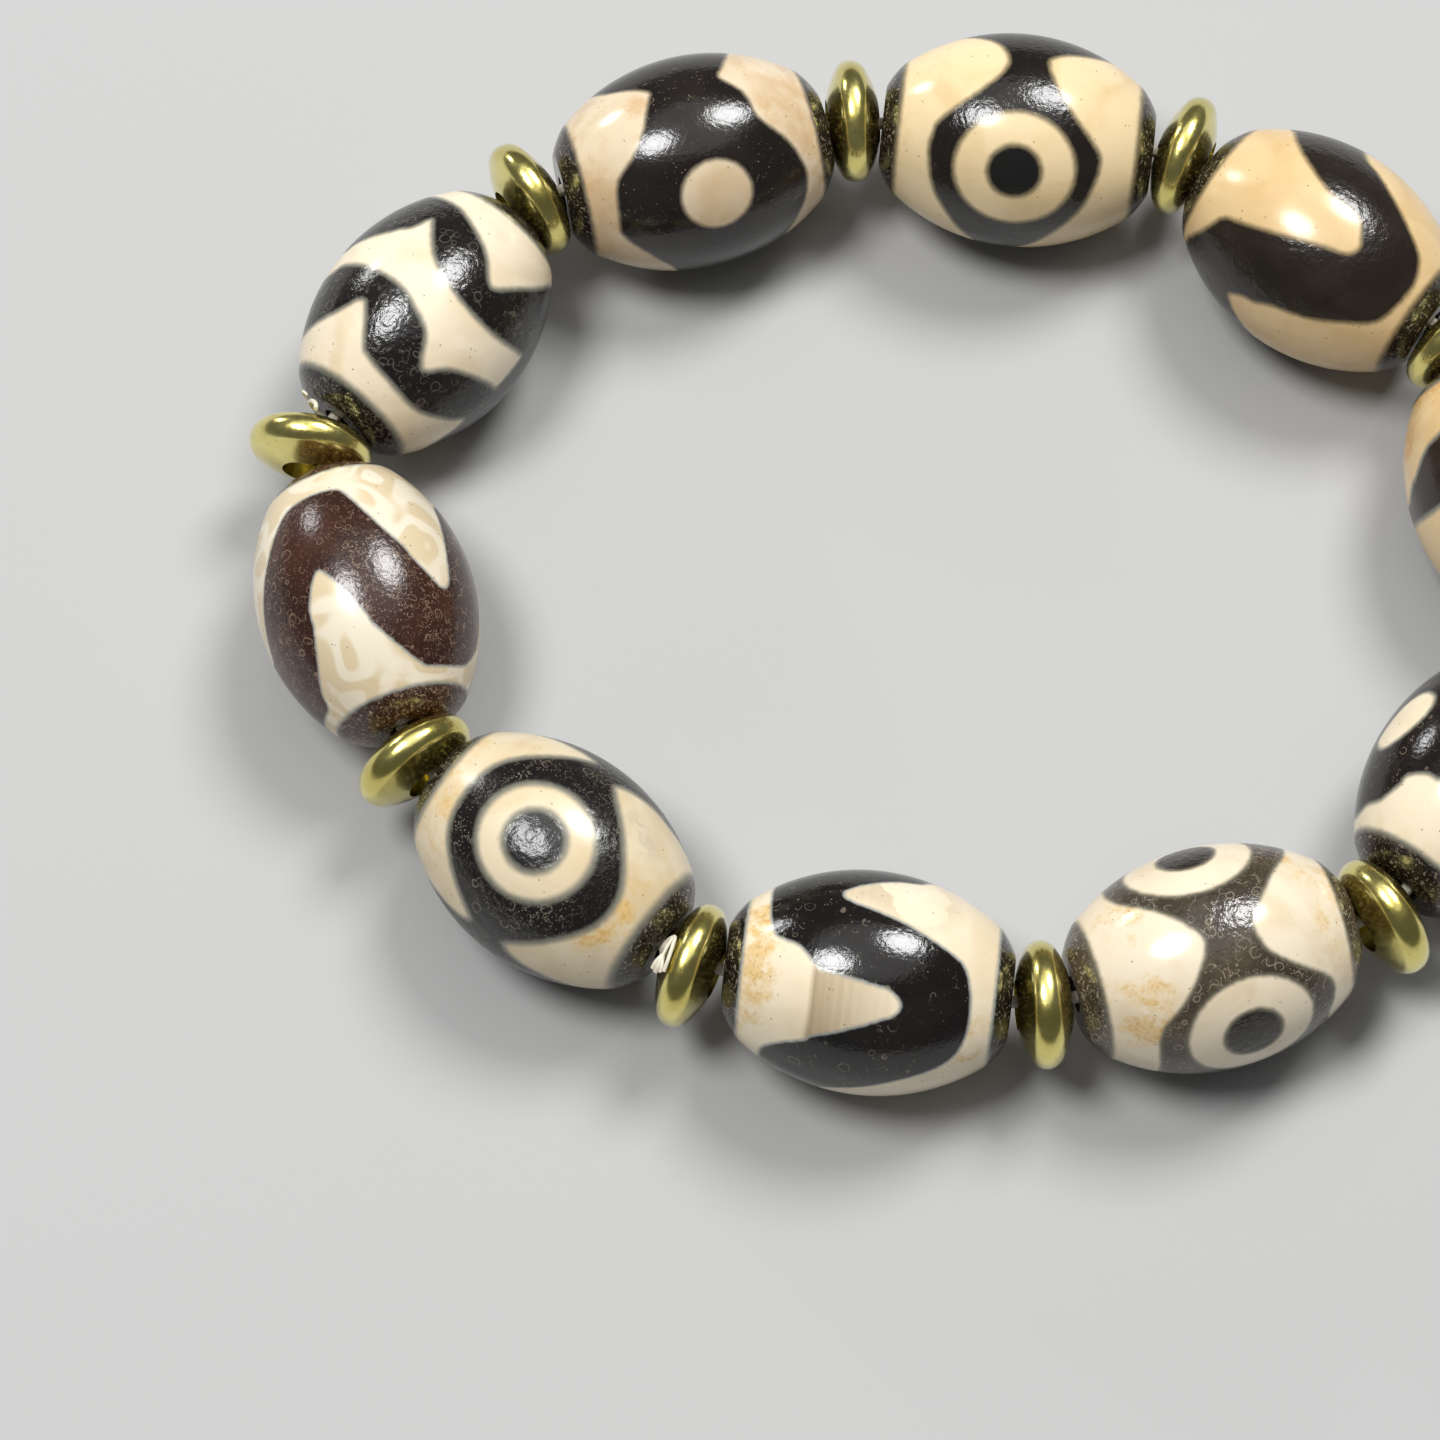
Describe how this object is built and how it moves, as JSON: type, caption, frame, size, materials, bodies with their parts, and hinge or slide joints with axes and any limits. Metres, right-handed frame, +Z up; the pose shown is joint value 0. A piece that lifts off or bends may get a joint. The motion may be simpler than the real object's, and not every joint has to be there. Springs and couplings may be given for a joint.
{
  "type": "etched agate bead bracelet",
  "caption": "Elastic bracelet of black barrel beads with etched cream patterns, spaced by small brass rondelles, lying flat.",
  "frame": {"origin": "on the surface that the beads rest on, under the middle of the loop", "axes": "+Z up through the wrist opening, +X along the long way of the oval loop, +Y across it; bead_a is at the left (-X) end on the near (-Y) side and the letters run anticlockwise seen from above"},
  "size_m": [0.078, 0.0626, 0.012],
  "materials": {
    "black_agate": "glossy black agate with cream etched patterns, ochre stains and small ring marks",
    "brown_agate": "glossy dark brown agate with cream etched zigzag and faint banding",
    "polished_brass": "polished greenish yellow brass with fine scratches",
    "clear_elastic": "milky clear elastic cord"
  },
  "bodies": {
    "root": {"bead_a": "brown_agate", "bead_b": "black_agate", "bead_c": "black_agate", "bead_d": "black_agate", "bead_e": "black_agate", "bead_f": "black_agate", "bead_g": "black_agate", "bead_h": "black_agate", "bead_i": "black_agate", "bead_j": "black_agate", "spacer_ja": "polished_brass", "spacer_ab": "polished_brass", "spacer_bc": "polished_brass", "spacer_cd": "polished_brass", "spacer_de": "polished_brass", "spacer_ef": "polished_brass", "spacer_fg": "polished_brass", "spacer_gh": "polished_brass", "spacer_hi": "polished_brass", "spacer_ij": "polished_brass", "elastic_cord": "clear_elastic"}
  },
  "joints": []
}
